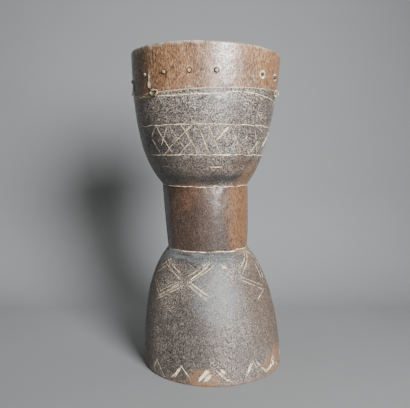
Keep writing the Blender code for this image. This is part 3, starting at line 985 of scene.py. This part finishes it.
# %% [markdown]
# ## Pegs
#
# Wooden pegs held the skin. Each is a whittled dowel. Its rounded end is pale, partly worn and partly
# a painted highlight, and its sides are dark, partly with age and partly as painted shade. The two pegs
# in the pale dishes are dark all over. One turned shape serves for all, pushed about by noise so that
# no two are alike.

# %% Peg finishes
def make_peg_wood(name, dark, light):
    peg = Finish(name, 0.38, 0.8)
    peg.color = peg.blend(peg.noise(300.0), dark, light)
    return peg.done(peg.noise(700.0), 0.4, 0.0004)


# The pale end finish is worn wood with a painted highlight; the dark finish is old wood with painted shade.
PEG_WORN_AND_HIGHLIGHT = make_peg_wood("peg_wood_worn_and_highlight", (0.200, 0.130, 0.075), (0.520, 0.380, 0.240))
PEG_DARK_AND_SHADE = make_peg_wood("peg_wood_dark_and_shade", (0.020, 0.015, 0.012), (0.110, 0.080, 0.055))

# %% Peg shapes
PEG_OUTLINE = [(0.0, -PEG_ROOT), (PEG_RADIUS, -PEG_ROOT), (PEG_RADIUS, 0.0),
               (PEG_RADIUS * 0.97, 0.5 * PEG_STAND), (PEG_RADIUS * 0.84, 0.82 * PEG_STAND),
               (PEG_RADIUS * 0.50, PEG_STAND), (0.0, PEG_STAND)]


def make_peg(node, angle):
    bm = bmesh.new()
    corners = [bm.verts.new((radius, 0.0, z)) for radius, z in PEG_OUTLINE]
    edges = [bm.edges.new(pair) for pair in zip(corners, corners[1:])]
    bmesh.ops.spin(bm, geom=corners + edges, axis=(0, 0, 1), cent=(0, 0, 0), angle=math.tau,
                   steps=24, use_merge=True)
    bmesh.ops.remove_doubles(bm, verts=bm.verts, dist=1e-6)
    bmesh.ops.recalc_face_normals(bm, faces=bm.faces)
    for vertex in bm.verts:
        if vertex.co.z > 0.0:
            vertex.co += 0.0004 * noise.noise_vector(vertex.co * 260.0 + Vector((angle, 0.0, 0.0)))
    # Peg ends get the pale finish as a painted highlight and sides the dark finish as painted shade; the two
    # bare pegs stay dark.
    for face in bm.faces:
        on_top = face.calc_center_median().z > 0.6 * PEG_STAND
        face.material_index = 1 if on_top and not is_bare(angle) else 0
    bm.transform(wall_frame(angle, PEG_Z))
    add_piece(node + "_whittled", mesh_from(bm, node, PEG_DARK_AND_SHADE, PEG_WORN_AND_HIGHLIGHT), [node])


for node, angle in peg_angles.items():
    make_peg(node, angle)

# %% [markdown]
# ## Shreds of hide
#
# The skin was cut away long ago. What is left is dry rawhide: two narrow shreds that cling to the band
# and two torn lace loops at its lower edge. They are thin, curled and pale.

# %% Hide finish
def make_rawhide():
    hide = Finish("dry_hide", 0.5)
    hide.color = hide.blend(hide.noise(220.0), (0.220, 0.150, 0.080), (0.800, 0.680, 0.470))
    hide.lay(hide.noise(150.0, 0.50, 0.66), (0.130, 0.075, 0.035))
    return hide.done(hide.noise(420.0), 0.5, 0.0008)


DRY_HIDE = make_rawhide()

# %% Strips
def hide_strip(node, angle, top, low, top_width, low_width, hang):
    bm = bmesh.new()
    bmesh.ops.create_grid(bm, x_segments=8, y_segments=26, size=0.5)
    for vertex in bm.verts:
        share, side = 0.5 - vertex.co.y, 2 * vertex.co.x
        width = top_width + (low_width - top_width) * share
        ragged = 1.0 + 0.50 * noise.noise(Vector((share * 9.0, side * 1.5, angle)))
        turn = math.degrees(side * ragged * width / 2 / outer_radius(top))
        wrinkle = 0.0005 * (1.0 + noise.noise(Vector((side * 3.5, share * 2.0, angle))))
        lift = 0.0003 + hang * share ** 2 + wrinkle + 0.0006 * side * side * share
        z = top + (low - top) * share + 0.0018 * share * noise.noise(Vector((side * 2.6, 0.5, angle)))
        vertex.co = on_wall(angle + turn, z, lift)
    bmesh.ops.solidify(bm, geom=bm.faces[:], thickness=0.0009)
    bmesh.ops.recalc_face_normals(bm, faces=bm.faces)
    add_piece(node + "_torn", mesh_from(bm, node, DRY_HIDE), [node], 60)


hide_strip("hide_strip_left", -73, PEG_Z - 0.002, BAND_Z, 0.006, 0.011, 0.0030)
hide_strip("hide_strip_front", -43.5, PEG_Z + 0.007, BAND_Z + 0.005, 0.0055, 0.0080, 0.0008)

# %% Loops
def hide_loop(node, angle, z, width, height, thickness, stand):
    steps = 36
    curve = bpy.data.curves.new(node, "CURVE")
    curve.dimensions = "3D"
    curve.bevel_depth = thickness
    curve.bevel_resolution = 3
    line = curve.splines.new("POLY")
    line.points.add(steps - 1)
    line.use_cyclic_u = True
    for i, point in enumerate(line.points):
        turn = math.tau * i / steps
        uneven = noise.noise_vector(Vector((math.cos(turn) * 1.6, math.sin(turn) * 1.6, angle)))
        place = wall_frame(angle, z + (height / 2 + 0.0008 * uneven.y) * math.sin(turn))
        lift = thickness + 0.0004 + stand * (1 + math.cos(turn)) / 2
        point.co = (*(place @ Vector(((width / 2 + 0.0010 * uneven.x) * math.cos(turn), 0.0, lift))), 1.0)
        point.radius = 0.85 + 0.6 * uneven.z
    guide = bpy.data.objects.new(node, curve)
    mesh = bpy.data.meshes.new_from_object(guide)
    bpy.data.objects.remove(guide)
    mesh.materials.clear()
    mesh.materials.append(DRY_HIDE)
    add_piece(node + "_torn", mesh, [node], 60)


hide_loop("hide_loop_left", -39.5, BAND_Z - 0.0035, 0.017, 0.0095, 0.0017, 0.0010)
hide_loop("hide_loop_right", 68, BAND_Z + 0.0015, 0.009, 0.0095, 0.0016, 0.0045)

# %% [markdown]
# ## Studio
#
# The drum stands on plain paper that curves up behind it. A window-sized light in front and to the
# right, with a narrow beam, makes the shine down the middle and throws the shadow to the left. A weaker
# light above and a dim warm surround soften that shadow.

# %% Paper sweep
PAPER_WIDTH = 5.2


def make_sweep():
    bm = bmesh.new()
    front, back, bend, top = -2.2, 0.62, 0.30, 2.6
    path = [(front, 0.0), (back - bend, 0.0)]
    for i in range(1, 9):
        turn = math.radians(90 * i / 8)
        path.append((back - bend + bend * math.sin(turn), bend * (1 - math.cos(turn))))
    path.append((back, top))
    corners = [bm.verts.new((-PAPER_WIDTH / 2, y, z)) for y, z in path]
    edges = [bm.edges.new(pair) for pair in zip(corners, corners[1:])]
    grown = bmesh.ops.extrude_edge_only(bm, edges=edges)["geom"]
    far_side = [part for part in grown if isinstance(part, bmesh.types.BMVert)]
    bmesh.ops.translate(bm, verts=far_side, vec=(PAPER_WIDTH, 0, 0))
    bmesh.ops.recalc_face_normals(bm, faces=bm.faces)
    paper = Finish("pale_paper", 0.9)
    paper.color = paper.blend(paper.noise(3.0, 0.2, 0.8), (0.226, 0.225, 0.223), (0.241, 0.240, 0.238))
    mesh = mesh_from(bm, "paper_sweep", paper.done())
    mesh.shade_smooth()
    sweep = bpy.data.objects.new("paper_sweep", mesh)
    bpy.context.scene.collection.objects.link(sweep)
    print("paper sweep with", len(mesh.polygons), "faces")


make_sweep()

# %% Lights
def soft_light(name, place, aim, power, width, height, color, spread=180):
    lamp = bpy.data.lights.new(name, "AREA")
    lamp.shape = "RECTANGLE"
    lamp.size = width
    lamp.size_y = height
    lamp.energy = power
    lamp.color = color
    lamp.spread = math.radians(spread)
    light = bpy.data.objects.new(name, lamp)
    light.location = place
    light.rotation_euler = (Vector(aim) - Vector(place)).to_track_quat("-Z", "Y").to_euler()
    bpy.context.scene.collection.objects.link(light)


soft_light("window_right", (0.92, -1.74, 1.00), (0.0, 0.0, 0.34), power=25.0, width=0.8, height=1.2,
           color=(0.94, 0.975, 1.0), spread=72)
soft_light("ceiling", (-0.1, 0.10, 2.1), (-0.1, 0.50, 0.3), power=11.0, width=1.1, height=0.8,
           color=(0.95, 0.97, 1.0))
world = bpy.data.worlds.new("studio")
world.use_nodes = True
background = world.node_tree.nodes["Background"]
background.inputs["Color"].default_value = (0.95, 0.91, 0.85, 1.0)
background.inputs["Strength"].default_value = 0.070
bpy.context.scene.world = world
print("lights:", [lamp.name for lamp in bpy.data.lights])

# %% [markdown]
# ## Camera
#
# The photograph was taken from just under a metre away, a little below the drum's rim, so the rim
# arches up and the foot's edge bows down. The lens and the tilt come from measuring both curves.

# %% Camera
IMAGE_WIDTH = 410
FOCAL_PIXELS = 494.0
SENSOR_WIDTH = 36.0
DOWNWARD_TILT = 5.32
camera_data = bpy.data.cameras.new("camera")
camera_data.sensor_width = SENSOR_WIDTH
camera_data.lens = FOCAL_PIXELS / IMAGE_WIDTH * SENSOR_WIDTH
camera = bpy.data.objects.new("camera", camera_data)
camera.location = (-0.0045, -0.957, 0.3963)
camera.rotation_euler = (math.radians(90 - DOWNWARD_TILT), 0.0, 0.0)
bpy.context.scene.collection.objects.link(camera)
bpy.context.scene.camera = camera
print("lens", round(camera_data.lens, 2), "mm")
